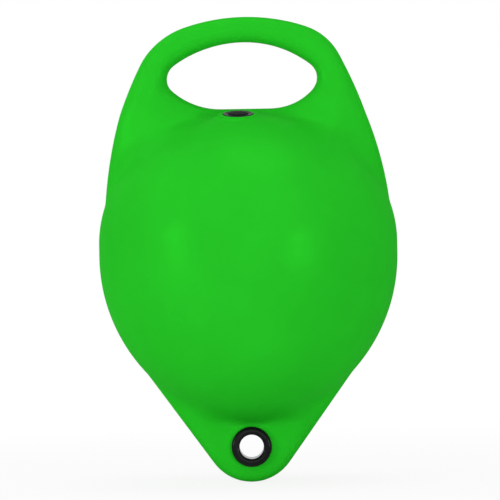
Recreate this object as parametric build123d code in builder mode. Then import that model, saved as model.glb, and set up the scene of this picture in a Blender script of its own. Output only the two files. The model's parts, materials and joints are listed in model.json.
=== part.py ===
"""Inflatable anchor buoy with a moulded handle, a screw valve and a rope eyelet.

Millimetres. Z is up, X runs across the handle and the valve is on the -Y side.
The origin is on the axis of the float at its widest girth, where it floats.
"""
import math
import os

from build123d import *

os.makedirs("parts", exist_ok=True)

# Float: a turned hollow ball with a short straight band at its girth.
float_radius = 96.4
girth_band = 8.0
wall = 3.0

# Handle: one flat web with a rounded band, standing on the float.
handle_rise = 57.4
handle_thickness = 24.0
handle_band = 16.1
leg_inset = 3.5
leg_middle_height = 10.0
leg_arc = 250.0
shoulder_arc = 44.5
crown_arc = 123.0
leg_root = 24.0
web_root = 43.0
web_root_half_width = 48.0
handle_top = float_radius + handle_rise
leg_half_width = float_radius - leg_inset

# Opening for the hand, just above the dome.
opening_height = 43.3
opening_flat = 16.0
opening_low_arc = 42.0
opening_side_arc = 11.0
opening_top_arc = 74.0
dome_gap = 1.9
opening_top = handle_top - handle_band
opening_floor = opening_top - opening_height
float_rise = opening_floor - dome_gap

# Lug: a web under the float with a round tip, and a raised collar for the eyelet.
lug_length = 50.1
lug_thickness = 20.0
lug_rounding = 0.3 * lug_thickness
lug_tip_arc = 30.0
lug_fin_inset = 1.0
lug_root_half_width = 30.0
lug_root_rise = 18.0
collar_rise = 0.8
collar_border = 2.2
collar_rounding = 0.5 * collar_rise
lug_tip = -float_radius - lug_length

# Eyelet: a flanged bush from the front and a ring over its end at the back.
eyelet_bore_radius = 7.8
eyelet_barrel_wall = 1.8
eyelet_flange_width = 3.4
eyelet_flange = 3.4
eyelet_margin = 10.0
eyelet_clearance = 0.05
eyelet_rounding = 0.7 * eyelet_flange
eyelet_mouth_rounding = 0.5 * eyelet_flange
eyelet_barrel_radius = eyelet_bore_radius + eyelet_barrel_wall
eyelet_flange_radius = eyelet_barrel_radius + eyelet_flange_width
eyelet_height = lug_tip + eyelet_margin + eyelet_flange_radius
eyelet_seat = lug_thickness / 2 + collar_rise
neck_gap = 0.5
float_drop = -eyelet_height - eyelet_flange_radius - neck_gap

# Valve: a flanged seat in a boss on the dome, closed by a slotted screw plug.
valve_across = -5.0
valve_forward = 24.5
plug_shank_radius = 4.0
plug_shank = 9.0
plug_clearance = 0.06
plug_tip_chamfer = 0.3 * plug_shank_radius
plug_head_radius = 6.4
plug_head = 1.4
plug_head_gap = 0.3
plug_head_chamfer = 0.2 * plug_head
plug_slot_width = 1.6
plug_slot_depth = 0.55 * plug_head
seat_sleeve_wall = 2.5
seat_sleeve = 1.35 * plug_shank
seat_flange = 2.4
seat_rim = 3.3
seat_rounding = 0.3 * seat_flange
seat_clearance = 0.05
seat_sink = 0.8 * seat_flange
seat_recess = 0.5 * seat_flange
seat_sleeve_radius = plug_shank_radius + plug_clearance + seat_sleeve_wall
seat_flange_radius = plug_head_radius + plug_head_gap + seat_rim
boss_border = 2.8
boss_rise = 0.9
boss_rounding = 0.8 * boss_rise
boss_radius = seat_flange_radius + boss_border
boss_depth = seat_sleeve + seat_sink


def touching_centre(first, first_reach, second, second_reach):
    """The upper right of the two points at given distances from two centres."""
    span_x = second[0] - first[0]
    span_z = second[1] - first[1]
    span = math.hypot(span_x, span_z)
    along = (first_reach**2 - second_reach**2 + span**2) / (2 * span)
    aside = math.sqrt(first_reach**2 - along**2)
    base = (first[0] + along * span_x / span, first[1] + along * span_z / span)
    one = (base[0] - aside * span_z / span, base[1] + aside * span_x / span)
    two = (base[0] + aside * span_z / span, base[1] - aside * span_x / span)
    return max(one, two, key=sum)


def touch_point(big, small, small_radius):
    """Where a circle touches the larger circle around it."""
    reach = math.hypot(small[0] - big[0], small[1] - big[1])
    share = (reach + small_radius) / reach
    return (big[0] + (small[0] - big[0]) * share, big[1] + (small[1] - big[1]) * share)


def arc_middle(centre, radius, start, end):
    """The middle of the short arc between two points of a circle."""
    first = math.atan2(start[1] - centre[1], start[0] - centre[0])
    last = math.atan2(end[1] - centre[1], end[0] - centre[0])
    half = (first + last) / 2
    return (centre[0] + radius * math.cos(half), centre[1] + radius * math.sin(half))


def flip(point):
    """The same point on the -X side."""
    return (-point[0], point[1])


def low_arc(inset):
    """The radius of the arc from the girth down to the axis, that far inside the float."""
    reach = float_radius - inset
    drop = float_drop - inset
    return (reach**2 + drop**2) / (2 * reach)


def float_profile(inset):
    """Half the float's section, that far inside its surface."""
    reach = float_radius - inset
    rise = float_rise - inset
    drop = float_drop - inset
    arc = low_arc(inset)
    half = math.asin(drop / arc) / 2
    middle = (reach - arc + arc * math.cos(half), -arc * math.sin(half))
    with BuildSketch(Plane.XZ) as section:
        with BuildLine():
            Line((0, rise), (0, -drop))
            ThreePointArc((0, -drop), middle, (reach, 0))
            Line((reach, 0), (reach, girth_band))
            EllipticalCenterArc((0, girth_band), reach, rise - girth_band, start_angle=0, arc_size=90)
        make_face()
    return section.sketch


with BuildPart() as float_ball:
    add(float_profile(0))
    revolve(axis=Axis.Z)

# The air space: the same section, one wall further in.
with BuildPart() as air_space:
    add(float_profile(wall))
    revolve(axis=Axis.Z)

# Handle outline: legs, shoulders and crown are tangent arcs.
leg_centre = (leg_half_width - leg_arc, leg_middle_height)
crown_centre = (0.0, handle_top - crown_arc)
shoulder_centre = touching_centre(
    leg_centre, leg_arc - shoulder_arc, crown_centre, crown_arc - shoulder_arc
)
leg_end = touch_point(leg_centre, shoulder_centre, shoulder_arc)
crown_end = touch_point(crown_centre, shoulder_centre, shoulder_arc)
leg_climb = leg_root - leg_middle_height
leg_foot = (leg_centre[0] + math.sqrt(leg_arc**2 - leg_climb**2), leg_root)
leg_middle = arc_middle(leg_centre, leg_arc, leg_foot, leg_end)
shoulder_middle = arc_middle(shoulder_centre, shoulder_arc, leg_end, crown_end)
root_corner = (web_root_half_width, web_root)

# Opening outline: a flat floor, low corners, round sides and an arched top.
low_centre = (opening_flat, opening_floor + opening_low_arc)
arch_centre = (0.0, opening_top - opening_top_arc)
side_centre = touching_centre(
    low_centre,
    opening_low_arc - opening_side_arc,
    arch_centre,
    opening_top_arc - opening_side_arc,
)
low_end = touch_point(low_centre, side_centre, opening_side_arc)
arch_end = touch_point(arch_centre, side_centre, opening_side_arc)
floor_end = (opening_flat, opening_floor)
low_middle = arc_middle(low_centre, opening_low_arc, floor_end, low_end)
side_middle = arc_middle(side_centre, opening_side_arc, low_end, arch_end)

# The rims are rounded by nearly half of the narrowest band.
leg_band = leg_arc - math.dist(leg_centre, side_centre) - opening_side_arc
shoulder_band = shoulder_arc - math.dist(shoulder_centre, side_centre) - opening_side_arc
handle_rounding = 0.46 * min(handle_band, leg_band, shoulder_band, handle_thickness)

with BuildPart() as handle_loop:
    with BuildSketch(Plane.XZ):
        with BuildLine():
            ThreePointArc(leg_foot, leg_middle, leg_end)
            ThreePointArc(leg_end, shoulder_middle, crown_end)
            ThreePointArc(crown_end, (0, handle_top), flip(crown_end))
            ThreePointArc(flip(crown_end), flip(shoulder_middle), flip(leg_end))
            ThreePointArc(flip(leg_end), flip(leg_middle), flip(leg_foot))
            Line(flip(leg_foot), flip(root_corner))
            Line(flip(root_corner), root_corner)
            Line(root_corner, leg_foot)
        make_face()
        with BuildLine():
            Line(flip(floor_end), floor_end)
            ThreePointArc(floor_end, low_middle, low_end)
            ThreePointArc(low_end, side_middle, arch_end)
            ThreePointArc(arch_end, (0, opening_top), flip(arch_end))
            ThreePointArc(flip(arch_end), flip(side_middle), flip(low_end))
            ThreePointArc(flip(low_end), flip(low_middle), flip(floor_end))
        make_face(mode=Mode.SUBTRACT)
    extrude(amount=handle_thickness / 2, both=True)
    rims = handle_loop.faces().filter_by(Axis.Y).edges()
    fillet(rims.filter_by(lambda rim: rim.center().Z > web_root + wall), handle_rounding)

# Lug outline: a round tip, and flanks that touch it and run up into the float as fins.
tip_height = lug_tip + lug_tip_arc
fin_arc = low_arc(0) - lug_fin_inset
fin_centre = float_radius - low_arc(0)
apart = math.hypot(fin_centre, tip_height)
lean = math.acos((fin_arc - lug_tip_arc) / apart) - math.atan2(-tip_height, -fin_centre)
flank_foot = (lug_tip_arc * math.cos(lean), tip_height + lug_tip_arc * math.sin(lean))
flank_head = (fin_centre + fin_arc * math.cos(lean), fin_arc * math.sin(lean))
lug_corner = (lug_root_half_width, flank_head[1] + lug_root_rise)

with BuildPart() as lug_tongue:
    with BuildSketch(Plane.XZ):
        with BuildLine():
            ThreePointArc(flip(flank_foot), (0, lug_tip), flank_foot)
            Line(flank_foot, flank_head)
            Line(flank_head, lug_corner)
            Line(lug_corner, flip(lug_corner))
            Line(flip(lug_corner), flip(flank_head))
            Line(flip(flank_head), flip(flank_foot))
        make_face()
    extrude(amount=lug_thickness / 2, both=True)
    rims = lug_tongue.faces().filter_by(Axis.Y).edges()
    fillet(rims.filter_by(lambda rim: rim.center().Z < flank_head[1]), lug_rounding)

eyelet_plane = Plane((0, 0, eyelet_height), x_dir=(1, 0, 0), z_dir=(0, -1, 0))

with BuildPart() as eyelet_collar:
    with BuildSketch(eyelet_plane):
        Circle(eyelet_flange_radius + collar_border)
    extrude(amount=eyelet_seat, both=True)
    fillet(eyelet_collar.edges().filter_by(GeomType.CIRCLE), collar_rounding)

# The valve's own plane lies on the dome. Its Z is the axis that the plug turns about.
dome_height = float_rise - girth_band
dome_share = math.sqrt(1 - (valve_across**2 + valve_forward**2) / float_radius**2)
valve_height = girth_band + dome_height * dome_share
tilt = math.atan(dome_height * valve_forward / (float_radius**2 * dome_share))
valve_plane = Plane(
    origin=(valve_across, -valve_forward, valve_height),
    x_dir=(1, 0, 0),
    z_dir=(0, -math.sin(tilt), math.cos(tilt)),
)
seat_face = boss_rise - seat_sink
seat_top = seat_face + seat_flange
head_seat = seat_top - seat_recess

with BuildPart() as valve_boss:
    with BuildSketch(valve_plane.offset(-boss_depth)):
        Circle(boss_radius)
    extrude(amount=boss_depth + boss_rise)
    fillet(valve_boss.edges().sort_by(Axis.Z)[-1], boss_rounding)

with BuildPart() as float_body:
    add(float_ball.part)
    add(handle_loop.part)
    add(lug_tongue.part)
    add(eyelet_collar.part)
    add(air_space.part, mode=Mode.SUBTRACT)
    add(valve_boss.part)
    with BuildSketch(valve_plane.offset(seat_face)):
        Circle(seat_flange_radius + seat_clearance)
    extrude(amount=seat_flange + boss_radius, mode=Mode.SUBTRACT)
    with BuildSketch(valve_plane.offset(seat_face)):
        Circle(seat_sleeve_radius + seat_clearance)
    extrude(amount=-2 * boss_depth, mode=Mode.SUBTRACT)
    with BuildSketch(eyelet_plane):
        Circle(eyelet_barrel_radius + eyelet_clearance)
    extrude(amount=lug_thickness, both=True, mode=Mode.SUBTRACT)
float_body.part.label = "float_body"
export_step(float_body.part, "parts/float_body.step")

with BuildPart() as valve_seat:
    with BuildSketch(valve_plane.offset(seat_face)):
        Circle(seat_flange_radius)
    extrude(amount=seat_flange)
    fillet(valve_seat.edges().sort_by(Axis.Z)[-1], seat_rounding)
    with BuildSketch(valve_plane.offset(seat_face)):
        Circle(seat_sleeve_radius)
    extrude(amount=-seat_sleeve)
    with BuildSketch(valve_plane.offset(head_seat)):
        Circle(plug_head_radius + plug_head_gap)
    extrude(amount=seat_recess, mode=Mode.SUBTRACT)
    with BuildSketch(valve_plane.offset(head_seat)):
        Circle(plug_shank_radius + plug_clearance)
    extrude(amount=-seat_sleeve - seat_flange, mode=Mode.SUBTRACT)
valve_seat.part.label = "valve_seat"
export_step(valve_seat.part, "parts/valve_seat.step")

with BuildPart() as valve_plug:
    with BuildSketch(valve_plane.offset(head_seat)):
        Circle(plug_head_radius)
    extrude(amount=plug_head)
    chamfer(valve_plug.edges().sort_by(Axis.Z)[-1], plug_head_chamfer)
    with BuildSketch(valve_plane.offset(head_seat)):
        Circle(plug_shank_radius)
    extrude(amount=-plug_shank)
    chamfer(valve_plug.edges().sort_by(Axis.Z)[0], plug_tip_chamfer)
    with BuildSketch(valve_plane.offset(head_seat + plug_head)):
        Rectangle(3 * plug_head_radius, plug_slot_width)
    extrude(amount=-plug_slot_depth, mode=Mode.SUBTRACT)
valve_plug.part.label = "valve_plug"
export_step(valve_plug.part, "parts/valve_plug.step")

with BuildPart() as eyelet_bush:
    with BuildSketch(eyelet_plane.offset(eyelet_seat)):
        Circle(eyelet_flange_radius)
    extrude(amount=eyelet_flange)
    with BuildSketch(eyelet_plane.offset(eyelet_seat)):
        Circle(eyelet_barrel_radius)
    extrude(amount=-2 * eyelet_seat - eyelet_flange)
    with BuildSketch(eyelet_plane.offset(eyelet_seat + eyelet_flange)):
        Circle(eyelet_bore_radius)
    extrude(amount=-2 * (eyelet_seat + eyelet_flange), mode=Mode.SUBTRACT)
    mouth, rim = eyelet_bush.edges().group_by(Axis.Y)[0].sort_by(SortBy.LENGTH)
    fillet(rim, eyelet_rounding)
    fillet(mouth, eyelet_mouth_rounding)
eyelet_bush.part.label = "eyelet_bush"
export_step(eyelet_bush.part, "parts/eyelet_bush.step")

with BuildPart() as eyelet_ring:
    with BuildSketch(eyelet_plane.offset(-eyelet_seat)):
        Circle(eyelet_flange_radius)
        Circle(eyelet_barrel_radius + eyelet_clearance, mode=Mode.SUBTRACT)
    extrude(amount=-eyelet_flange)
    rim = eyelet_ring.edges().group_by(Axis.Y)[-1].sort_by(SortBy.LENGTH)[-1]
    fillet(rim, eyelet_rounding)
eyelet_ring.part.label = "eyelet_ring"
export_step(eyelet_ring.part, "parts/eyelet_ring.step")
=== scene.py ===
"""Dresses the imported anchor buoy: vinyl float, rope eyelet, screw valve and a plain studio.

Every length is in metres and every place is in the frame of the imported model: Z up, X across
the handle, the valve on the -Y side, and the origin on the axis at the widest girth.
"""

import json
import logging
import math
from dataclasses import dataclass, field
from enum import Enum
from typing import ClassVar

import bpy
from mathutils import Matrix, Vector


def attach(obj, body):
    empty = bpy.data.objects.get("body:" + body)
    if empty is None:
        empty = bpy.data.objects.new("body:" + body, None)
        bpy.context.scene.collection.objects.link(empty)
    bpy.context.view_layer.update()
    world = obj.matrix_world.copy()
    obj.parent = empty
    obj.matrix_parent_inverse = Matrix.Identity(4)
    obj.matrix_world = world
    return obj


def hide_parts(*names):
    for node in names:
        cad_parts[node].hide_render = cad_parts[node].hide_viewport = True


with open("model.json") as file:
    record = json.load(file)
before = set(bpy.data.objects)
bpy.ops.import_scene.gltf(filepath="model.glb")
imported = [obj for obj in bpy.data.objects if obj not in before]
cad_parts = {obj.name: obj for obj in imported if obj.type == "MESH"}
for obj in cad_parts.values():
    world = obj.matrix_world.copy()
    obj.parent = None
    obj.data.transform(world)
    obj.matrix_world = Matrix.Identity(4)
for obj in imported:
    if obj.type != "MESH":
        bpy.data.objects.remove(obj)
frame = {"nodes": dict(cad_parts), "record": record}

MM = 0.001
LOG = logging.getLogger("anchor_buoy")

Colour = tuple[float, float, float, float]
Corner = tuple[float, float, float]
Profile = list[tuple[float, float]]
Span = tuple[float, float]

WHITE: Colour = (1, 1, 1, 1)


class Body(Enum):
    """The rigid bodies that pieces ride on."""

    FLOAT = "float"
    PLUG = "plug"


class Slot(Enum):
    """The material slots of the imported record."""

    VINYL = "green_vinyl"
    VALVE = "black_plastic"
    EYELET = "black_gloss"


def clipped(share: float) -> float:
    """Keeps a share between 0 and 1."""
    return max(0.0, min(1.0, share))


def eased(share: float) -> float:
    """Clips a share and eases it in at 0 and out at 1."""
    share = clipped(share)
    return share**2 * (3 - 2 * share)


class Shaper:
    """Small modelling moves made with Blender's own operators."""

    SAME_POINT: ClassVar[float] = 0.002 * MM

    @staticmethod
    def clear_selection() -> None:
        """Leaves edit mode and deselects every object."""
        if bpy.context.object and bpy.context.object.mode != "OBJECT":
            bpy.ops.object.mode_set(mode="OBJECT")
        bpy.ops.object.select_all(action="DESELECT")

    @staticmethod
    def pick(obj: bpy.types.Object) -> None:
        """Makes one object the only selected and active one.

        Args:
            obj: the object.
        """
        Shaper.clear_selection()
        obj.select_set(True)
        bpy.context.view_layer.objects.active = obj

    @staticmethod
    def apply_modifiers(obj: bpy.types.Object) -> None:
        """Applies all modifiers of an object in order.

        Args:
            obj: the object.
        """
        Shaper.pick(obj)
        for modifier in list(obj.modifiers):
            bpy.ops.object.modifier_apply(modifier=modifier.name)

    @staticmethod
    def round_corners(corners: list[Corner], steps: int = 6) -> Profile:
        """Turns a closed polygon into a profile with rounded corners.

        Args:
            corners: radius, height and rounding of each corner, in order.
            steps: straight pieces in each rounding.

        Returns:
            The profile's points as radius and height.
        """
        points: Profile = []
        count = len(corners)
        for index, (radius, height, rounding) in enumerate(corners):
            here = Vector((radius, height))
            if rounding <= 0:
                points.append((radius, height))
                continue
            before = (Vector(corners[index - 1][:2]) - here).normalized()
            after = (Vector(corners[(index + 1) % count][:2]) - here).normalized()
            half = before.angle(after) / 2
            reach = rounding / math.tan(half)
            centre = here + (before + after).normalized() * (rounding / math.sin(half))
            start = here + before * reach - centre
            end = here + after * reach - centre
            for step in range(steps + 1):
                blend = start.slerp(end, step / steps) * rounding
                points.append((centre.x + blend.x, centre.y + blend.y))
        return points

    @staticmethod
    def lathe(name: str, profile: Profile, steps: int = 96) -> bpy.types.Object:
        """Draws a profile point by point and spins it round Z.

        Args:
            name: name of the new object.
            profile: radius and height of each point.
            steps: divisions of the full turn.

        Returns:
            The turned object, at the origin.
        """
        Shaper.clear_selection()
        bpy.ops.mesh.primitive_plane_add(size=MM, location=(0, 0, 0))
        obj = bpy.context.object
        obj.name = name
        bpy.ops.object.mode_set(mode="EDIT")
        bpy.ops.mesh.select_mode(type="VERT")
        bpy.ops.mesh.select_all(action="SELECT")
        bpy.ops.mesh.merge(type="CENTER")
        bpy.ops.transform.translate(value=(profile[0][0], 0, profile[0][1]))
        for (last_r, last_h), (radius, height) in zip(profile, profile[1:]):
            move = (radius - last_r, 0, height - last_h)
            bpy.ops.mesh.extrude_region_move(TRANSFORM_OT_translate={"value": move})
        bpy.ops.mesh.select_all(action="SELECT")
        bpy.ops.mesh.spin(steps=steps, angle=math.tau, center=(0, 0, 0), axis=(0, 0, 1))
        bpy.ops.mesh.select_all(action="SELECT")
        bpy.ops.mesh.remove_doubles(threshold=Shaper.SAME_POINT)
        bpy.ops.mesh.normals_make_consistent(inside=False)
        bpy.ops.object.mode_set(mode="OBJECT")
        return obj

    @staticmethod
    def ring(name: str, corners: list[Corner]) -> bpy.types.Object:
        """Turns a ring whose section is a closed polygon with rounded corners."""
        section = Shaper.round_corners(corners)
        return Shaper.lathe(name, section + section[:1])

    @staticmethod
    def settle(obj: bpy.types.Object, place: Matrix, angle: float) -> None:
        """Moves an object to its place, puts that place into its mesh and shades it smooth.

        Args:
            obj: the object.
            place: where it goes.
            angle: the angle in degrees above which its edges stay sharp.
        """
        obj.matrix_world = place
        Shaper.pick(obj)
        bpy.ops.object.transform_apply(location=True, rotation=True, scale=True)
        bpy.ops.object.shade_smooth_by_angle(angle=math.radians(angle))


class Nodes:
    """A node tree with short calls for adding and joining nodes."""

    def __init__(self, tree: bpy.types.NodeTree) -> None:
        """Keeps the tree that is being filled."""
        self.tree = tree

    def add(self, kind: str, label: str, **values: object) -> bpy.types.Node:
        """Adds a node and sets its properties.

        Args:
            kind: Blender's name for the node type.
            label: plain words for what it does here.
            values: properties of the node.

        Returns:
            The new node.
        """
        node = self.tree.nodes.new(kind)
        node.label = label
        for key, value in values.items():
            setattr(node, key, value)
        return node

    def join(self, source: bpy.types.NodeSocket, target: bpy.types.NodeSocket) -> None:
        """Links an output to an input."""
        self.tree.links.new(source, target)

    def combine(self, label: str, operation: str, first: object, second: object) -> bpy.types.NodeSocket:
        """A Math node on two sockets or numbers.

        Args:
            label: plain words for what it does here.
            operation: Blender's name for the operation.
            first: a socket or a number.
            second: a socket or a number.

        Returns:
            The node's output.
        """
        node = self.add("ShaderNodeMath", label, operation=operation)
        for socket, value in zip(node.inputs, (first, second)):
            if isinstance(value, bpy.types.NodeSocket):
                self.join(value, socket)
            else:
                socket.default_value = value
        return node.outputs[0]

    def remap(
        self, label: str, value: bpy.types.NodeSocket, source: Span, target: Span, kind: str = "SMOOTHSTEP"
    ) -> bpy.types.NodeSocket:
        """A Map Range node from one span to another.

        Args:
            label: plain words for what it does here.
            value: the socket that is mapped.
            source: the ends of the span that is read.
            target: the values at those ends.
            kind: Blender's name for the way between them.

        Returns:
            The node's output.
        """
        node = self.add("ShaderNodeMapRange", label, interpolation_type=kind)
        for key, number in zip(("From Min", "From Max", "To Min", "To Max"), (*source, *target)):
            node.inputs[key].default_value = number
        self.join(value, node.inputs["Value"])
        return node.outputs[0]

    def noise(
        self, label: str, place: bpy.types.NodeSocket, scale: bpy.types.NodeSocket, **settings: float
    ) -> bpy.types.NodeSocket:
        """A Noise Texture node.

        Args:
            label: plain words for what it does here.
            place: the coordinates that it reads.
            scale: the socket with its scale.
            settings: values of its other inputs.

        Returns:
            The node's output.
        """
        node = self.add("ShaderNodeTexNoise", label)
        for key, number in settings.items():
            node.inputs[key].default_value = number
        self.join(place, node.inputs["Vector"])
        self.join(scale, node.inputs["Scale"])
        return node.outputs[0]

    def seen_or_not(
        self, label: str, seen: bpy.types.Node, unseen: bpy.types.Node, share: object = 1.0
    ) -> bpy.types.NodeSocket:
        """Mixes a shader for rays that show a surface with one for rays that only light.

        Args:
            label: plain words for what it does here.
            seen: the shader for the camera, for reflections and through glass.
            unseen: the shader for all other rays.
            share: how much of the first is shown, as a socket or a number.

        Returns:
            The mixed shader.
        """
        path = self.add("ShaderNodeLightPath", "kind of ray").outputs
        shows = self.combine("camera or mirror", "MAXIMUM", path["Is Camera Ray"], path["Is Glossy Ray"])
        shows = self.combine("or glass", "MAXIMUM", shows, path["Is Transmission Ray"])
        mix = self.add("ShaderNodeMixShader", label)
        self.join(self.combine("share that shows", "MULTIPLY", shows, share), mix.inputs[0])
        self.join(unseen.outputs[0], mix.inputs[1])
        self.join(seen.outputs[0], mix.inputs[2])
        return mix.outputs[0]


class MouldedSkin:
    """The shared node group of fine moulded grain, slow mottling and scuffs."""

    NAME: ClassVar[str] = "moulded_skin"
    SCUFFS_PER_MOTTLE: ClassVar[float] = 5.0

    @classmethod
    def tree(cls) -> bpy.types.NodeTree:
        """The group, built on first use."""
        found = bpy.data.node_groups.get(cls.NAME)
        return found or cls._build()

    @classmethod
    def _build(cls) -> bpy.types.NodeTree:
        """Builds the group with its sockets.

        Returns:
            The new node group.
        """
        tree = bpy.data.node_groups.new(cls.NAME, "ShaderNodeTree")
        tree.interface.new_socket("Place", in_out="INPUT", socket_type="NodeSocketVector")
        for name in ("Grain Scale", "Mottle Scale"):
            tree.interface.new_socket(name, in_out="INPUT", socket_type="NodeSocketFloat")
        for name in ("Grain", "Mottle", "Scuff"):
            tree.interface.new_socket(name, in_out="OUTPUT", socket_type="NodeSocketFloat")
        nodes = Nodes(tree)
        given = nodes.add("NodeGroupInput", "inputs").outputs
        place = given["Place"]
        mottle_scale = given["Mottle Scale"]
        scuff_scale = nodes.combine("scuff size", "MULTIPLY", mottle_scale, cls.SCUFFS_PER_MOTTLE)
        layers = {
            "Grain": nodes.noise("orange peel", place, given["Grain Scale"], Detail=3.0),
            "Mottle": nodes.noise("slow mottling", place, mottle_scale, Detail=4.0, Roughness=0.6),
            "Scuff": nodes.noise("handling scuffs", place, scuff_scale, Detail=6.0, Distortion=0.3),
        }
        outputs = nodes.add("NodeGroupOutput", "outputs").inputs
        for name, layer in layers.items():
            nodes.join(layer, outputs[name])
        return tree


@dataclass(frozen=True)
class Finish:
    """A moulded plastic finish with grain, mottling and a roughness range."""

    MOTTLE_BAND: ClassVar[Span] = (0.35, 0.65)
    SCUFF_BAND: ClassVar[Span] = (0.3, 0.7)
    SEAM_HEIGHT: ClassVar[float] = 2.2

    name: str
    deep: Colour
    light: Colour
    smooth: float
    rough: float
    grain_scale: float
    grain_height: float
    mottle_scale: float
    specular: float
    metallic: float = 0.0
    seam_half_width: float = 0.0

    def material(self) -> bpy.types.Material:
        """Builds the material.

        Returns:
            The new material.
        """
        made = bpy.data.materials.new(self.name)
        made.use_nodes = True
        nodes = Nodes(made.node_tree)
        shader = next(n for n in made.node_tree.nodes if n.type == "BSDF_PRINCIPLED")
        place = nodes.add("ShaderNodeTexCoord", "place on the object").outputs["Object"]
        skin = nodes.add("ShaderNodeGroup", "moulded skin", node_tree=MouldedSkin.tree())
        skin.inputs["Grain Scale"].default_value = self.grain_scale
        skin.inputs["Mottle Scale"].default_value = self.mottle_scale
        nodes.join(place, skin.inputs["Place"])
        tint = nodes.add("ShaderNodeValToRGB", "tint")
        stops = zip(tint.color_ramp.elements, self.MOTTLE_BAND, (self.deep, self.light))
        for stop, position, colour in stops:
            stop.position = position
            stop.color = colour
        nodes.join(skin.outputs["Mottle"], tint.inputs[0])
        nodes.join(tint.outputs[0], shader.inputs["Base Color"])
        gloss = nodes.remap(
            "roughness range", skin.outputs["Scuff"], self.SCUFF_BAND, (self.smooth, self.rough), "LINEAR"
        )
        nodes.join(gloss, shader.inputs["Roughness"])
        shader.inputs["Specular IOR Level"].default_value = self.specular
        shader.inputs["Metallic"].default_value = self.metallic
        height = skin.outputs["Grain"]
        if self.seam_half_width > 0:
            height = self._with_seam(nodes, place, height)
        bump = nodes.add("ShaderNodeBump", "surface relief")
        bump.inputs["Strength"].default_value = 1.0
        bump.inputs["Distance"].default_value = self.grain_height
        nodes.join(height, bump.inputs["Height"])
        nodes.join(bump.outputs[0], shader.inputs["Normal"])
        return made

    def _with_seam(
        self, nodes: Nodes, place: bpy.types.NodeSocket, grain: bpy.types.NodeSocket
    ) -> bpy.types.NodeSocket:
        """Adds the thin raised line that the two mould halves leave.

        Args:
            nodes: the tree being filled.
            place: the coordinates on the object.
            grain: the height of the grain.

        Returns:
            The height of grain and seam together.
        """
        split = nodes.add("ShaderNodeSeparateXYZ", "across the mould")
        nodes.join(place, split.inputs[0])
        away = nodes.combine("distance from the seam", "ABSOLUTE", split.outputs["Y"], 0.0)
        line = nodes.remap("seam line", away, (0.0, self.seam_half_width), (self.SEAM_HEIGHT, 0.0))
        return nodes.combine("grain and seam", "ADD", grain, line)


class Placed:
    """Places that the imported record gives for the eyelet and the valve."""

    @staticmethod
    def eyelet() -> Matrix:
        """The eyelet's own frame, with Z out of the lug's front."""
        mount = next(m for m in frame["record"]["mounts"] if m["name"] == "eyelet_bore")
        return Placed._turned(mount["pos_m"], mount["axis"])

    @staticmethod
    def valve() -> Matrix:
        """The valve's own frame, with Z along the axis that the plug turns about."""
        joint = next(j for j in frame["record"]["behaviour"]["joints"] if j["child"] == Body.PLUG.value)
        return Placed._turned(joint["pos_m"], joint["axis"])

    @staticmethod
    def _turned(place: list[float], axis: list[float]) -> Matrix:
        """A frame at a place, tipped about X until its Z lies along an axis.

        Args:
            place: where the frame sits.
            axis: its Z direction, which has no part along X.

        Returns:
            The frame's matrix.
        """
        lean = math.atan2(-axis[1], axis[2])
        return Matrix.Translation(place) @ Matrix.Rotation(lean, 4, "X")


@dataclass(frozen=True)
class Ball:
    """The float's outer face without its webs: a dome, a straight girth band and a deeper bowl."""

    radius: float = 96.4 * MM
    girth_band: float = 8.0 * MM
    rise: float = 92.5 * MM
    drop: float = 110.0 * MM

    @property
    def dome(self) -> float:
        """Height of the dome above the girth band."""
        return self.rise - self.girth_band

    @property
    def bowl_arc(self) -> float:
        """Radius of the arc from which the bowl is turned."""
        return (self.radius**2 + self.drop**2) / (2 * self.radius)

    def half_width(self, height: float) -> float:
        """How far out the face lies at a height.

        Args:
            height: the height, on the dome or on the bowl.

        Returns:
            The distance from the axis.
        """
        if height > 0:
            lift = max(0.0, height - self.girth_band) / self.dome
            return self.radius * math.sqrt(max(0.0, 1 - lift**2))
        return self.radius - self.bowl_arc + math.sqrt(max(0.0, self.bowl_arc**2 - height**2))

    def depth(self, place: Vector) -> float:
        """How far a point lies inside the face, negative outside.

        Args:
            place: the point.

        Returns:
            The depth, true near the face.
        """
        across = math.hypot(place.x, place.y)
        if place.z <= 0:
            return self.bowl_arc - math.hypot(across - self.radius + self.bowl_arc, place.z)
        if place.z <= self.girth_band:
            return self.radius - across
        lift = place.z - self.girth_band
        share = math.hypot(across / self.radius, lift / self.dome)
        slope = math.hypot(across / self.radius**2, lift / self.dome**2) / share
        return (1 - share) / slope

    def outward(self, place: Vector) -> Vector:
        """The direction straight out of the face at a point near it.

        Args:
            place: the point.

        Returns:
            A vector of length 1.
        """
        if place.z <= 0:
            across = max(math.hypot(place.x, place.y), MM)
            reach = 1 + (self.bowl_arc - self.radius) / across
            return Vector((place.x * reach, place.y * reach, place.z)).normalized()
        lift = max(0.0, place.z - self.girth_band) * (self.radius / self.dome) ** 2
        return Vector((place.x, place.y, lift)).normalized()


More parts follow.
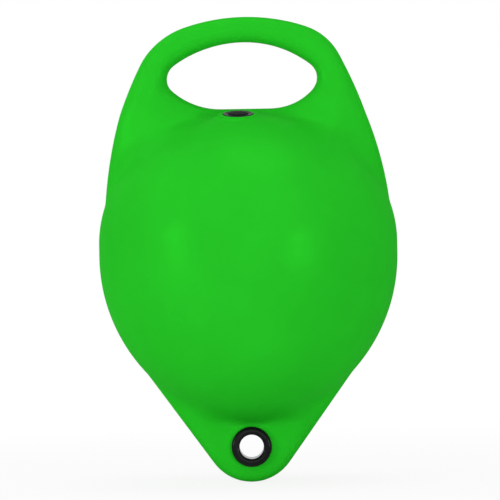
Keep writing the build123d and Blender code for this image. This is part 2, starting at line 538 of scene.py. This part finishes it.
@dataclass(frozen=True)
class HandleWeb:
    """The flat web of the handle loop, with the hand opening taken as an ellipse.

    half is half of the web's thickness and melt the widest hollow between it and the ball. The
    two shares are parts of the opening's size.
    """

    half: float = 12.0 * MM
    melt: float = 44.0 * MM
    leg_half_width: float = 92.9 * MM
    leg_arc: float = 250.0 * MM
    leg_middle: float = 10.0 * MM
    opening_middle: float = 116.0 * MM
    opening_half_width: float = 48.65 * MM
    opening_half_height: float = 21.65 * MM
    rim_share: float = 1.1
    fade_share: float = 0.35

    def edge(self, height: float) -> float:
        """How far out the legs reach at a height."""
        rise = height - self.leg_middle
        return self.leg_half_width - self.leg_arc + math.sqrt(max(0.0, self.leg_arc**2 - rise**2))

    def _size(self, place: Vector) -> float:
        """The size of the ellipse through a point, as a share of the opening's."""
        up = (place.z - self.opening_middle) / self.opening_half_height
        return math.hypot(place.x / self.opening_half_width, up)

    def from_hole(self, place: Vector) -> float:
        """How far a point lies from the rim of the opening.

        Args:
            place: the point.

        Returns:
            The distance, true near the rim.
        """
        size = self._size(place)
        up = (place.z - self.opening_middle) / self.opening_half_height**2
        return (size - 1) * size / math.hypot(place.x / self.opening_half_width**2, up)

    def clear_of_hole(self, place: Vector) -> float:
        """0 at the rim of the opening, 1 and more away from it."""
        return (self._size(place) - self.rim_share) / self.fade_share


@dataclass(frozen=True)
class LugWeb:
    """The flat web of the lug, with the eyelet's hole.

    half is half of the web's thickness and melt the widest hollow between it and the ball. The
    flanks run straight in from flank_head, which is a half-width and a height.
    """

    half: float = 10.0 * MM
    melt: float = 38.0 * MM
    flank_head: tuple[float, float] = (74.6 * MM, -64.3 * MM)
    flank_slope: float = 0.7217
    hole_height: float = field(default_factory=lambda: Placed.eyelet().translation.z)
    hole_border: float = 14.0 * MM
    hole_fade: float = 10.15 * MM

    def edge(self, height: float) -> float:
        """How far out the flanks reach at a height."""
        return self.flank_head[0] + (height - self.flank_head[1]) * self.flank_slope

    def from_hole(self, place: Vector) -> float:
        """How far a point lies from the border of the eyelet."""
        return math.hypot(place.x, place.z - self.hole_height) - self.hole_border

    def clear_of_hole(self, place: Vector) -> float:
        """0 at the border of the eyelet, 1 and more away from it."""
        return self.from_hole(place) / self.hole_fade


@dataclass(frozen=True)
class Lip:
    """A low raised ring of vinyl around a fitting, too fine for the soft skin."""

    SHARP: ClassVar[float] = 50.0

    inside: float
    outside: float
    root: float
    top: float
    outer_rounding: float
    inner_rounding: float

    def build(self, name: str, place: Matrix, side: int = 1) -> bpy.types.Object:
        """Turns the ring and puts it in its place.

        Args:
            name: name of the ring.
            place: the fitting's own frame.
            side: 1 at the front of the fitting, -1 at its back.

        Returns:
            The ring.
        """
        ring = Shaper.ring(
            name,
            [
                (self.inside, side * self.root, 0),
                (self.outside, side * self.root, 0),
                (self.outside, side * self.top, self.outer_rounding),
                (self.inside, side * self.top, self.inner_rounding),
            ],
        )
        Shaper.settle(ring, place, self.SHARP)
        return ring


@dataclass
class VinylFloat:
    """The green moulding: float, handle loop and lug in one soft skin, with crisp lips."""

    finish: Finish
    ball: Ball = Ball()
    handle: HandleWeb = HandleWeb()
    lug: LugWeb = field(default_factory=LugWeb)
    boss: Lip = Lip(
        inside=10.05 * MM,
        outside=12.8 * MM,
        root=-1.2 * MM,
        top=0.9 * MM,
        outer_rounding=0.6 * MM,
        inner_rounding=0.15 * MM,
    )
    collar: Lip = Lip(
        inside=9.65 * MM,
        outside=15.2 * MM,
        root=8.8 * MM,
        top=10.8 * MM,
        outer_rounding=0.4 * MM,
        inner_rounding=0.1 * MM,
    )
    valve_place: Vector = field(default_factory=lambda: Placed.valve().translation.copy())

    # The even mesh of the outer wall
    half_wall: float = 1.5 * MM
    same_point: float = 0.005 * MM
    voxel: float = 1.5 * MM

    # The hollows in which ball and webs melt together
    rim_rounding: float = 5.0 * MM
    rim_still: float = 4.0 * MM
    melt_fade: float = 8.0 * MM
    melt_per_room: float = 1.4
    least_melt: float = 1.0 * MM
    melt_steps: int = 5

    # The smoothing, all over and along the creases
    soften_factor: float = 0.5
    soften_rounds: int = 5
    crease_rounds: int = 110
    crease_reach: float = 24.0 * MM
    crease_gain: float = 1.3
    crease_fade: float = 6.0 * MM
    valve_border: float = 14.0 * MM
    valve_fade: float = 9.0 * MM

    # The soft handle's lean to one side
    lean: float = 2.2 * MM
    lean_start: float = 25.0 * MM
    lean_top: float = 152.0 * MM
    lean_fade: float = 30.0 * MM

    def build(self) -> list[bpy.types.Object]:
        """Makes the skin and its lips and dresses them.

        Returns:
            The finished pieces.
        """
        dressed = self.finish.material()
        skin = self._outer_copy()
        self._melt(skin)
        self._soften(skin)
        skin.data.materials.clear()
        Shaper.pick(skin)
        bpy.ops.object.shade_smooth()
        pieces = [
            skin,
            self.boss.build("valve_boss_lip", Placed.valve()),
            self.collar.build("eyelet_collar_front", Placed.eyelet()),
            self.collar.build("eyelet_collar_back", Placed.eyelet(), side=-1),
        ]
        for piece in pieces:
            piece.data.materials.append(dressed)
            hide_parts("float_body")
            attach(piece, Body.FLOAT.value)
        return pieces

    def _outer_copy(self) -> bpy.types.Object:
        """Copies the solid's outer wall, without the air space inside.

        Returns:
            The closed outer skin.
        """
        source = frame["nodes"]["float_body"]
        skin = bpy.data.objects.new("vinyl_skin", source.data.copy())
        bpy.context.scene.collection.objects.link(skin)
        Shaper.pick(skin)
        bpy.ops.object.mode_set(mode="EDIT")
        bpy.ops.mesh.select_all(action="SELECT")
        bpy.ops.mesh.remove_doubles(threshold=self.same_point)
        bpy.ops.mesh.select_all(action="DESELECT")
        bpy.ops.object.mode_set(mode="OBJECT")
        for face in skin.data.polygons:
            face.select = self.ball.depth(face.center) > self.half_wall
        bpy.ops.object.mode_set(mode="EDIT")
        bpy.ops.mesh.select_mode(type="FACE")
        bpy.ops.mesh.delete(type="FACE")
        bpy.ops.mesh.select_mode(type="EDGE")
        bpy.ops.mesh.select_non_manifold(extend=False)
        bpy.ops.mesh.fill()
        bpy.ops.mesh.select_all(action="SELECT")
        bpy.ops.mesh.normals_make_consistent(inside=False)
        bpy.ops.object.mode_set(mode="OBJECT")
        return skin

    def _melt(self, skin: bpy.types.Object) -> None:
        """Remeshes the skin evenly and melts the webs into the ball.

        Args:
            skin: the outer skin.
        """
        remesh = skin.modifiers.new("even mesh", "REMESH")
        remesh.mode = "VOXEL"
        remesh.voxel_size = self.voxel
        Shaper.apply_modifiers(skin)
        for vertex in skin.data.vertices:
            vertex.co = self._melted(vertex.co)

    def _soften(self, skin: bpy.types.Object) -> None:
        """Smooths the skin, most where the webs leave the ball, and lets the handle lean.

        Args:
            skin: the outer skin.
        """
        for name, weigh in (("creases", self._crease_weight), ("lean", self._lean_weight)):
            group = skin.vertex_groups.new(name=name)
            for vertex in skin.data.vertices:
                weight = weigh(vertex.co)
                if weight > 0:
                    group.add([vertex.index], weight, "REPLACE")
        for group_name, rounds in (("", self.soften_rounds), ("creases", self.crease_rounds)):
            smooth = skin.modifiers.new("soften", "SMOOTH")
            smooth.factor = self.soften_factor
            smooth.iterations = rounds
            smooth.vertex_group = group_name
        push = skin.modifiers.new("lean", "DISPLACE")
        push.direction = "X"
        push.mid_level = 0.0
        push.strength = -self.lean
        push.vertex_group = "lean"
        Shaper.apply_modifiers(skin)
        skin.vertex_groups.clear()

    def _web(self, height: float) -> HandleWeb | LugWeb:
        """The web on that side of the girth."""
        return self.handle if height > 0 else self.lug

    def _stands_out(self, height: float) -> bool:
        """Whether a web's edge lies outside the ball at a height.

        Args:
            height: the height.

        Returns:
            Whether there is a corner between web and ball.
        """
        if self.lug.flank_head[1] < height < self.ball.girth_band:
            return False
        return self._web(height).edge(height) > self.ball.half_width(height)

    def _room(self, place: Vector) -> float:
        """How much of the web's flat face lies between the ball and the nearest rim at a point.

        Args:
            place: the point on the skin.

        Returns:
            The width, which stays about the same from the ball to that rim.
        """
        web = self._web(place.z)
        off_ball = max(0.0, -self.ball.depth(Vector((place.x, 0, place.z))))
        to_rim = min(web.from_hole(place), web.edge(place.z) - abs(place.x))
        return off_ball + to_rim - self.rim_rounding

    def _melt_reach(self, place: Vector) -> float:
        """How far from the corner between ball and web the two melt into each other.

        Args:
            place: the point on the skin.

        Returns:
            The reach, which falls to 0 on the webs' outer rims and where a web leaves the ball.
        """
        rim = clipped((abs(place.y) - self.rim_still) / self.melt_fade)
        if rim == 0 or not self._stands_out(place.z):
            return 0.0
        full = self._web(place.z).melt
        return rim * max(0.0, min(full, self.melt_per_room * self._room(place)))

    def _melted(self, place: Vector) -> Vector:
        """Moves a point from the sharp corner between ball and web on to a smooth hollow.

        The hollow is where a smooth minimum of the distances from ball and web equals the
        sharp one, and a few Newton steps lead there.

        Args:
            place: the point on the sharp skin.

        Returns:
            The point on the melted skin.
        """
        reach = self._melt_reach(place)
        if reach < self.least_melt:
            return place
        half = self._web(place.z).half
        side = math.copysign(1.0, place.y)
        level = min(-self.ball.depth(place), abs(place.y) - half)
        here = place.copy()
        for _ in range(self.melt_steps):
            off_ball = -self.ball.depth(here)
            off_web = side * here.y - half
            share = max(0.0, reach - abs(off_ball - off_web)) / reach
            near = 1 - share / 2
            to_ball, to_web = (near, share / 2) if off_ball < off_web else (share / 2, near)
            climb = self.ball.outward(here) * to_ball + Vector((0, side * to_web, 0))
            miss = min(off_ball, off_web) - share**2 * reach / 4 - level
            here -= climb * (miss / climb.length_squared)
        return here

    def _crease_weight(self, place: Vector) -> float:
        """How strongly a point is smoothed: most on the lines where the webs leave the ball.

        Args:
            place: the point on the skin.

        Returns:
            A weight from 0 to 1.
        """
        web = self._web(place.z)
        away = math.hypot(self.ball.depth(place), abs(place.y) - web.half) / self.crease_reach
        rim = (abs(place.y) - self.rim_still) / self.crease_fade
        off_valve = ((place - self.valve_place).length - self.valve_border) / self.valve_fade
        weight = clipped(min(self.crease_gain * (1 - away), rim, off_valve))
        return weight * eased(web.clear_of_hole(place))

    def _lean_weight(self, place: Vector) -> float:
        """How far a point takes part in the soft handle's lean, most at mid height.

        Args:
            place: the point on the skin.

        Returns:
            A weight from 0 to 1, which is 0 on the ball and at the top of the handle.
        """
        if place.z < 0:
            return 0.0
        off_ball = clipped(-self.ball.depth(place) / self.lean_start)
        return off_ball * eased((self.lean_top - place.z) / self.lean_fade)


@dataclass
class RopeEyelet:
    """The black two-piece eyelet through the lug."""

    finish: Finish
    seat: float = 10.8 * MM
    bore: float = 7.8 * MM
    barrel: float = 9.6 * MM
    flange: float = 13.0 * MM
    thickness: float = 3.4 * MM
    clearance: float = 0.05 * MM
    rim_rounding: float = 2.38 * MM
    mouth_rounding: float = 1.7 * MM
    back_mouth_rounding: float = 0.8 * MM
    end_rounding: float = 0.3 * MM
    seat_rounding: float = 0.2 * MM
    sharp: float = 50.0

    def build(self) -> list[bpy.types.Object]:
        """Turns the bush and the back ring and dresses them.

        Returns:
            The finished pieces.
        """
        out = self.seat + self.thickness
        around = self.barrel + self.clearance
        bush = Shaper.ring(
            "eyelet_bush_front",
            [
                (self.bore, out, self.mouth_rounding),
                (self.flange, out, self.rim_rounding),
                (self.flange, self.seat, self.seat_rounding),
                (self.barrel, self.seat, 0),
                (self.barrel, -out, self.end_rounding),
                (self.bore, -out, self.back_mouth_rounding),
            ],
        )
        ring = Shaper.ring(
            "eyelet_ring_back",
            [
                (around, -self.seat, 0),
                (self.flange, -self.seat, self.seat_rounding),
                (self.flange, -out, self.rim_rounding),
                (around, -out, self.end_rounding),
            ],
        )
        dressed = self.finish.material()
        for obj, node in ((bush, "eyelet_bush"), (ring, "eyelet_ring")):
            Shaper.settle(obj, Placed.eyelet(), self.sharp)
            obj.data.materials.append(dressed)
            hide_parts(node)
            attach(obj, Body.FLOAT.value)
        return [bush, ring]


@dataclass
class ScrewValve:
    """The black valve on the dome: a flanged seat and its slotted plug."""

    seat_finish: Finish
    plug_finish: Finish
    sharp: float = 35.0

    # The seat, from its sleeve up to its dished flange
    sleeve_end: float = -13.17 * MM
    sleeve: float = 6.56 * MM
    sleeve_rounding: float = 0.4 * MM
    shank_hole: float = 4.06 * MM
    seat_face: float = -1.02 * MM
    seat_top: float = 1.38 * MM
    seat_dish: float = 0.85 * MM
    seat_flange: float = 10.0 * MM
    flange_rounding: float = 0.72 * MM
    recess: float = 6.7 * MM
    edge_rounding: float = 0.2 * MM

    # The plug, from the tip of its shank up to its slotted head
    shank_end: float = -8.82 * MM
    shank: float = 4.0 * MM
    tip_chamfer: float = 1.2 * MM
    head_seat: float = 0.18 * MM
    head: float = 6.4 * MM
    head_edge: float = 1.05 * MM
    head_chamfer: float = 0.2 * MM
    head_flat: float = 4.6 * MM
    head_top: float = 1.58 * MM
    crown_width: float = 0.5 * MM
    crown_drop: float = 0.1 * MM
    slot_length: float = 19.2 * MM
    slot_width: float = 1.6 * MM
    slot_depth: float = 0.77 * MM

    def build(self) -> list[bpy.types.Object]:
        """Turns seat and plug and dresses them.

        Returns:
            The finished pieces.
        """
        seat = self._seat()
        plug = self._plug()
        for obj, finish, node, body in (
            (seat, self.seat_finish, "valve_seat", Body.FLOAT),
            (plug, self.plug_finish, "valve_plug", Body.PLUG),
        ):
            Shaper.settle(obj, Placed.valve(), self.sharp)
            obj.data.materials.append(finish.material())
            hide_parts(node)
            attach(obj, body.value)
        return [seat, plug]

    def _seat(self) -> bpy.types.Object:
        """Turns the flanged seat.

        Returns:
            The seat, upright at the origin.
        """
        return Shaper.ring(
            "valve_seat_insert",
            [
                (self.shank_hole, self.sleeve_end, 0),
                (self.sleeve, self.sleeve_end, self.sleeve_rounding),
                (self.sleeve, self.seat_face, 0),
                (self.seat_flange, self.seat_face, self.edge_rounding),
                (self.seat_flange, self.seat_top, self.flange_rounding),
                (self.recess, self.seat_dish, self.edge_rounding),
                (self.recess, self.head_seat, 0),
                (self.shank_hole, self.head_seat, 0),
            ],
        )

    def _plug(self) -> bpy.types.Object:
        """Turns the plug and cuts its slot.

        Returns:
            The plug, upright at the origin.
        """
        plug = Shaper.lathe(
            "valve_plug_screw",
            [
                (0.0, self.shank_end),
                (self.shank - self.tip_chamfer, self.shank_end),
                (self.shank, self.shank_end + self.tip_chamfer),
                (self.shank, self.head_seat),
                (self.head, self.head_seat),
                (self.head, self.head_edge - self.head_chamfer),
                (self.head - self.head_chamfer, self.head_edge),
                (self.head_flat + self.crown_width, self.head_top - self.crown_drop),
                (self.head_flat, self.head_top),
                (0.0, self.head_top),
            ],
        )
        bpy.ops.mesh.primitive_cube_add(size=1, location=(0, 0, self.head_top))
        cutter = bpy.context.object
        cutter.scale = (self.slot_length, self.slot_width, 2 * self.slot_depth)
        cut = plug.modifiers.new("screwdriver slot", "BOOLEAN")
        cut.operation = "DIFFERENCE"
        cut.object = cutter
        Shaper.apply_modifiers(plug)
        bpy.data.objects.remove(cutter)
        return plug


@dataclass(frozen=True)
class Lamp:
    """A square soft lamp that faces the buoy, with its power in watts."""

    name: str
    place: tuple[float, float, float]
    size: float
    power: float

    def build(self) -> None:
        """Hangs the lamp."""
        data = bpy.data.lights.new(self.name, "AREA")
        data.size = self.size
        data.energy = self.power
        lamp = bpy.data.objects.new(self.name, data)
        lamp.location = self.place
        lamp.rotation_euler = (-Vector(self.place)).to_track_quat("-Z", "Y").to_euler()
        bpy.context.scene.collection.objects.link(lamp)


@dataclass
class Studio:
    """Pale floor, white surround, soft lamps and the camera."""

    lamps: tuple[Lamp, ...] = (
        Lamp("key", place=(-1.65, -1.08, 0.2), size=0.38, power=9.0),
        Lamp("front", place=(0.1, -2.5, -0.05), size=0.9, power=7.0),
        Lamp("fill", place=(1.28, -1.54, 0.0), size=0.4, power=10.0),
        Lamp("top", place=(0.2, 0.0, 2.3), size=1.5, power=15.0),
    )

    # The floor, just under the tip of the lug
    floor_height: float = -146.6 * MM
    floor_side: float = 12.0
    floor_paint: Colour = (0.86, 0.86, 0.86, 1)
    shadow_span: Span = (0.15, 0.9)
    shadow_white: Span = (0.88, 1.0)

    # The surrounding light, by its direction along X
    tent_span: Span = (0.25, 1.0)
    tent_light: Span = (0.64, 0.02)

    # The camera, with the picture's side in pixels and the size of a pixel on the buoy
    image: int = 500
    scale: float = 0.6466 * MM
    centre_height: float = 3.2 * MM
    centre_across: float = 1.1 * MM
    distance: float = 2.6
    roll: float = -1.0
    sensor: float = 36.0
    far: float = 50.0

    def build(self) -> list[bpy.types.Object]:
        """Sets up everything around the buoy.

        Returns:
            The floor, the only mesh here.
        """
        floor = self._floor()
        self._world()
        for lamp in self.lamps:
            lamp.build()
        self._camera()
        return [floor]

    def _floor(self) -> bpy.types.Object:
        """Lays the pale floor, which shows white to the camera and keeps a soft shadow.

        Returns:
            The floor.
        """
        Shaper.clear_selection()
        bpy.ops.mesh.primitive_plane_add(size=self.floor_side, location=(0, 0, self.floor_height))
        floor = bpy.context.object
        floor.name = "studio_floor"
        paint = bpy.data.materials.new("studio_floor_paint")
        paint.use_nodes = True
        nodes = Nodes(paint.node_tree)
        paint.node_tree.nodes.clear()
        matte = nodes.add("ShaderNodeBsdfDiffuse", "pale paint")
        matte.inputs["Color"].default_value = self.floor_paint
        white = nodes.add("ShaderNodeEmission", "white to the camera")
        white.inputs["Color"].default_value = WHITE
        white.inputs["Strength"].default_value = 1.0
        place = nodes.add("ShaderNodeTexCoord", "place on the floor")
        away = nodes.add("ShaderNodeVectorMath", "distance from the buoy", operation="LENGTH")
        nodes.join(place.outputs["Object"], away.inputs[0])
        fade = nodes.remap(
            "shadow near the buoy only", away.outputs["Value"], self.shadow_span, self.shadow_white
        )
        out = nodes.add("ShaderNodeOutputMaterial", "surface")
        nodes.join(nodes.seen_or_not("paint and white", white, matte, fade), out.inputs["Surface"])
        floor.data.materials.append(paint)
        return floor

    def _world(self) -> None:
        """Gives a soft light that is dimmer on the right, and a white surround."""
        world = bpy.data.worlds.new("studio_surround")
        bpy.context.scene.world = world
        world.use_nodes = True
        nodes = Nodes(world.node_tree)
        world.node_tree.nodes.clear()
        toward = nodes.add("ShaderNodeTexCoord", "direction of the light")
        split = nodes.add("ShaderNodeSeparateXYZ", "left and right")
        nodes.join(toward.outputs["Generated"], split.inputs[0])
        dim = nodes.remap("dimmer on the right", split.outputs["X"], self.tent_span, self.tent_light)
        soft = nodes.add("ShaderNodeBackground", "soft light")
        soft.inputs["Color"].default_value = WHITE
        nodes.join(dim, soft.inputs["Strength"])
        white = nodes.add("ShaderNodeBackground", "white surround")
        white.inputs["Color"].default_value = WHITE
        white.inputs["Strength"].default_value = 1.0
        out = nodes.add("ShaderNodeOutputWorld", "world")
        nodes.join(nodes.seen_or_not("light and surround", white, soft), out.inputs["Surface"])

    def _camera(self) -> None:
        """Sets the long-lens camera level with the float, with the photograph's small roll."""
        data = bpy.data.cameras.new("camera")
        data.sensor_width = self.sensor
        data.lens = self.sensor * self.distance / (self.image * self.scale)
        data.clip_end = self.far
        camera = bpy.data.objects.new("camera", data)
        look = Matrix.Rotation(math.pi / 2, 4, "X") @ Matrix.Rotation(math.radians(self.roll), 4, "Z")
        spot = Matrix.Translation((self.centre_across, -self.distance, self.centre_height))
        camera.matrix_world = spot @ look
        bpy.context.scene.collection.objects.link(camera)
        bpy.context.scene.camera = camera


VINYL = Finish(
    name="green_vinyl_skin",
    deep=(0.018, 0.51, 0.018, 1),
    light=(0.020, 0.55, 0.020, 1),
    smooth=0.27,
    rough=0.37,
    grain_scale=900,
    grain_height=0.06 * MM,
    mottle_scale=14,
    specular=0.0,
    metallic=0.035,
    seam_half_width=0.5 * MM,
)
SEAT_BLACK = Finish(
    name="valve_seat_black",
    deep=(0.010, 0.010, 0.011, 1),
    light=(0.016, 0.016, 0.017, 1),
    smooth=0.24,
    rough=0.34,
    grain_scale=1600,
    grain_height=0.01 * MM,
    mottle_scale=60,
    specular=0.02,
)
PLUG_BLACK = Finish(
    name="valve_plug_black",
    deep=(0.006, 0.006, 0.007, 1),
    light=(0.010, 0.010, 0.011, 1),
    smooth=0.45,
    rough=0.58,
    grain_scale=2200,
    grain_height=0.02 * MM,
    mottle_scale=80,
    specular=0.02,
)
EYELET_BLACK = Finish(
    name="eyelet_gloss_black",
    deep=(0.004, 0.004, 0.005, 1),
    light=(0.009, 0.009, 0.010, 1),
    smooth=0.14,
    rough=0.22,
    grain_scale=1500,
    grain_height=0.01 * MM,
    mottle_scale=60,
    specular=0.08,
)


def main() -> None:
    """Builds the dressed buoy and its studio, and reports each piece."""
    logging.basicConfig(level=logging.INFO, format="%(name)s: %(message)s")
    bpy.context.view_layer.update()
    bpy.context.scene.view_settings.view_transform = "Standard"
    parts = (VinylFloat(VINYL), RopeEyelet(EYELET_BLACK), ScrewValve(SEAT_BLACK, PLUG_BLACK), Studio())
    for part in parts:
        for piece in part.build():
            LOG.info("%s made %s, %d faces", type(part).__name__, piece.name, len(piece.data.polygons))


if __name__ == "__main__":
    main()
